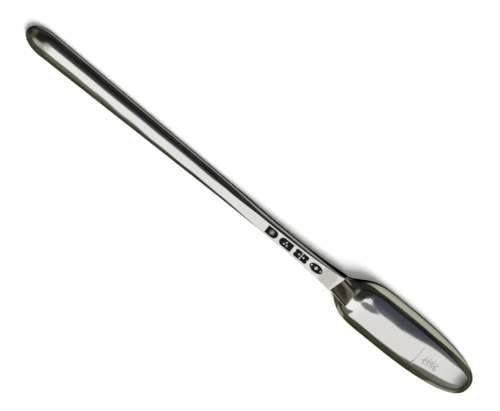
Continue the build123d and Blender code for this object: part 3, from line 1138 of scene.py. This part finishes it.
FAR_WALL_BLEND, FLOOR_BLEND, SIDE_BLEND = (-7.0, 7.0), (-95.0, -60.0), (30.0, 50.0)
START_BLEND, START_RISE = (-40.0, -50.0), (-110.0, -80.0)
END_BLEND, END_WALL_BLEND = (5.0, 48.0), (68.0, 78.0)


def sky_angles(tree):
    """A direction's angle along the scoop and its angle across it, in degrees."""
    direction = add_node(tree, "ShaderNodeTexCoord").outputs["Generated"]
    part = add_node(tree, "ShaderNodeSeparateXYZ", {"Vector": direction}).outputs
    to_degrees = 180 / pi
    along = compute(tree, "MULTIPLY", compute(tree, "ARCSINE", part["X"]), to_degrees)
    toward = compute(tree, "MULTIPLY", part["Y"], -1.0)
    across = compute(tree, "MULTIPLY", compute(tree, "ARCTAN2", toward, part["Z"]), to_degrees)
    return along, across


def soft_box(tree, along, across):
    """Mask of the box, and how far inside its two long edges a direction lies."""
    upper = follow_curve(tree, along, CURVE_SPAN, OUTLINE_REACH, BOX_UPPER)
    lower = follow_curve(tree, along, CURVE_SPAN, OUTLINE_REACH, BOX_LOWER)
    above = compute(tree, "SUBTRACT", across, upper)
    below = compute(tree, "SUBTRACT", lower, across)
    inside_box = compute(tree, "MINIMUM", above, below)
    light = ramp(tree, inside_box, -EDGE_SOFT, EDGE_SOFT)
    started = ramp(tree, along, BOX_START - START_SOFT, BOX_START + START_SOFT)
    ended = ramp(tree, along, BOX_END + END_SOFT, BOX_END - END_SOFT)
    light = compute(tree, "MULTIPLY", light, compute(tree, "MULTIPLY", started, ended))
    return light, inside_box


# %% Tones of the room, and the world
def room_colour(tree, along, across, inside_box):
    """The dark room: floor, far wall, glow round the box, near side, ends and end walls."""
    glow = ramp(tree, inside_box, -GLOW_REACH, 0.0)
    far_wall = mix_colours(tree, ramp(tree, along, *FAR_WALL_BLEND), ROOM_FLOOR, ROOM_DARK)
    room = mix_colours(tree, ramp(tree, across, *FLOOR_BLEND), ROOM_FLOOR, far_wall)
    room = mix_colours(tree, compute(tree, "POWER", glow, 2.0), room, ROOM_GLOW)
    room = mix_colours(tree, ramp(tree, across, *SIDE_BLEND), room, ROOM_SIDE)
    faces_start = compute(tree, "MULTIPLY", ramp(tree, along, *START_BLEND),
                          ramp(tree, across, *START_RISE))
    room = mix_colours(tree, faces_start, room, ROOM_START)
    room = mix_colours(tree, ramp(tree, along, *END_BLEND), room, ROOM_END)
    beyond = ramp(tree, compute(tree, "ABSOLUTE", along), *END_WALL_BLEND)
    return mix_colours(tree, beyond, room, END_WALL)


def build_world():
    world = bpy.data.worlds.new("studio")
    world.use_nodes = True
    bpy.context.scene.world = world
    tree = world.node_tree
    along, across = sky_angles(tree)
    light, inside_box = soft_box(tree, along, across)
    level = follow_curve(tree, along, CURVE_SPAN, LEVEL_REACH, BOX_LEVEL)
    room = room_colour(tree, along, across, inside_box)
    colour = mix_colours(tree, light, room, BOX_COLOUR)
    strength = compute(tree, "MULTIPLY_ADD", light, compute(tree, "SUBTRACT", level, 1.0), 1.0)
    matt = add_node(tree, "ShaderNodeLightPath").outputs["Is Diffuse Ray"]
    dimmed = compute(tree, "MULTIPLY_ADD", matt, WORLD_ON_MATT - 1, 1.0)
    strength = compute(tree, "MULTIPLY", strength, dimmed)
    background = tree.nodes["Background"]
    tree.links.new(colour, background.inputs["Color"])
    tree.links.new(strength, background.inputs["Strength"])
    print("world:", world.name, "nodes:", len(tree.nodes))


build_world()

# %% [markdown]
# ## Floor
# The floor is white paper whose far edge curls up, so that low views still look at paper. In
# the camera and in the metal it shows a little light of its own, which lifts it to white
# where nothing shades it and leaves the scoop's soft shadow.

# %% Paper
PAPER_RINGS = [(2.0, 0.0), (9.0, 0.0), (9.6, 0.15), (10.0, 1.5)]
PAPER_STEPS, PAPER_DROP = 96, 0.00002
PAPER_COLOUR, PAPER_GLOW = (0.95, 0.95, 0.95, 1), 0.04


def build_paper():
    builder = bmesh.new()
    loops = []
    for radius, height in PAPER_RINGS:
        loop = []
        for step in range(PAPER_STEPS):
            turn = 2 * pi * step / PAPER_STEPS
            place = (radius * cos(turn), radius * sin(turn), height - PAPER_DROP)
            loop.append(builder.verts.new(place))
        loops.append(loop)
    for first, second in zip(loops, loops[1:]):
        bridge(builder, first, second)
    builder.faces.new(loops[0])
    mesh = bpy.data.meshes.new("paper")
    builder.to_mesh(mesh)
    builder.free()
    paper = bpy.data.objects.new("paper", mesh)
    bpy.context.scene.collection.objects.link(paper)
    return paper


def make_paper_material():
    material = bpy.data.materials.new("white_paper")
    material.use_nodes = True
    tree = material.node_tree
    shader = tree.nodes["Principled BSDF"]
    shader.inputs["Base Color"].default_value = PAPER_COLOUR
    shader.inputs["Roughness"].default_value = 1.0
    shader.inputs["Specular IOR Level"].default_value = 0.0
    shader.inputs["Emission Color"].default_value = (1, 1, 1, 1)
    rays = add_node(tree, "ShaderNodeLightPath").outputs
    seen = compute(tree, "MAXIMUM", rays["Is Camera Ray"], rays["Is Glossy Ray"])
    seen = compute(tree, "MAXIMUM", seen, rays["Is Transmission Ray"])
    tree.links.new(compute(tree, "MULTIPLY", seen, PAPER_GLOW), shader.inputs["Emission Strength"])
    return material


paper = build_paper()
dress(paper, make_paper_material())
print("paper, metres across:", 2 * PAPER_RINGS[-1][0])

# %% Window light
LAMP_RISE, LAMP_FROM, LAMP_SPREAD, LAMP_LIGHT = radians(40), radians(-23), radians(25), 3.5


def build_lamp():
    """Low light from the wide scoop's near side: the metal doesn't mirror it."""
    data = bpy.data.lights.new("window_light", "SUN")
    data.energy = LAMP_LIGHT
    data.angle = LAMP_SPREAD
    lamp = bpy.data.objects.new("window_light", data)
    lamp.visible_glossy = False
    bpy.context.scene.collection.objects.link(lamp)
    level = cos(LAMP_RISE)
    back = Vector((level * cos(LAMP_FROM), level * sin(LAMP_FROM), sin(LAMP_RISE)))
    lamp.rotation_euler = back.to_track_quat("Z", "Y").to_euler()
    return lamp


print("lamp:", build_lamp().name)

# %% [markdown]
# ## Camera
# The camera looks down on the scoop, leaning back by about twenty degrees, with the scoop
# turned so that it runs from the upper left to the lower right.

# %% Camera
CAMERA_LEAN, CAMERA_TURN = radians(20), radians(39.1)
CAMERA_DISTANCE, SENSOR_WIDTH, VIEW_WIDTH = 0.60, 36.0, 0.19465
AIM_RIGHT, AIM_UP = 0.00117, 0.00162


def build_camera():
    data = bpy.data.cameras.new("camera")
    data.sensor_width = SENSOR_WIDTH
    data.lens = SENSOR_WIDTH * CAMERA_DISTANCE / VIEW_WIDTH
    camera = bpy.data.objects.new("camera", data)
    bpy.context.scene.collection.objects.link(camera)
    level_right = Vector((1, 0, 0))
    level_up = Vector((0, cos(CAMERA_LEAN), -sin(CAMERA_LEAN)))
    back = Vector((0, sin(CAMERA_LEAN), cos(CAMERA_LEAN)))
    right = cos(CAMERA_TURN) * level_right + sin(CAMERA_TURN) * level_up
    up = -sin(CAMERA_TURN) * level_right + cos(CAMERA_TURN) * level_up
    target = Vector((0, 0, LAND_HEIGHT * MM / 2)) + right * AIM_RIGHT + up * AIM_UP
    turn = Matrix((right, up, back)).transposed().to_4x4()
    camera.matrix_world = Matrix.Translation(target + back * CAMERA_DISTANCE) @ turn
    bpy.context.scene.camera = camera
    return camera


print("camera lens, mm:", round(build_camera().data.lens, 1))
bpy.context.scene.view_settings.view_transform = "Standard"
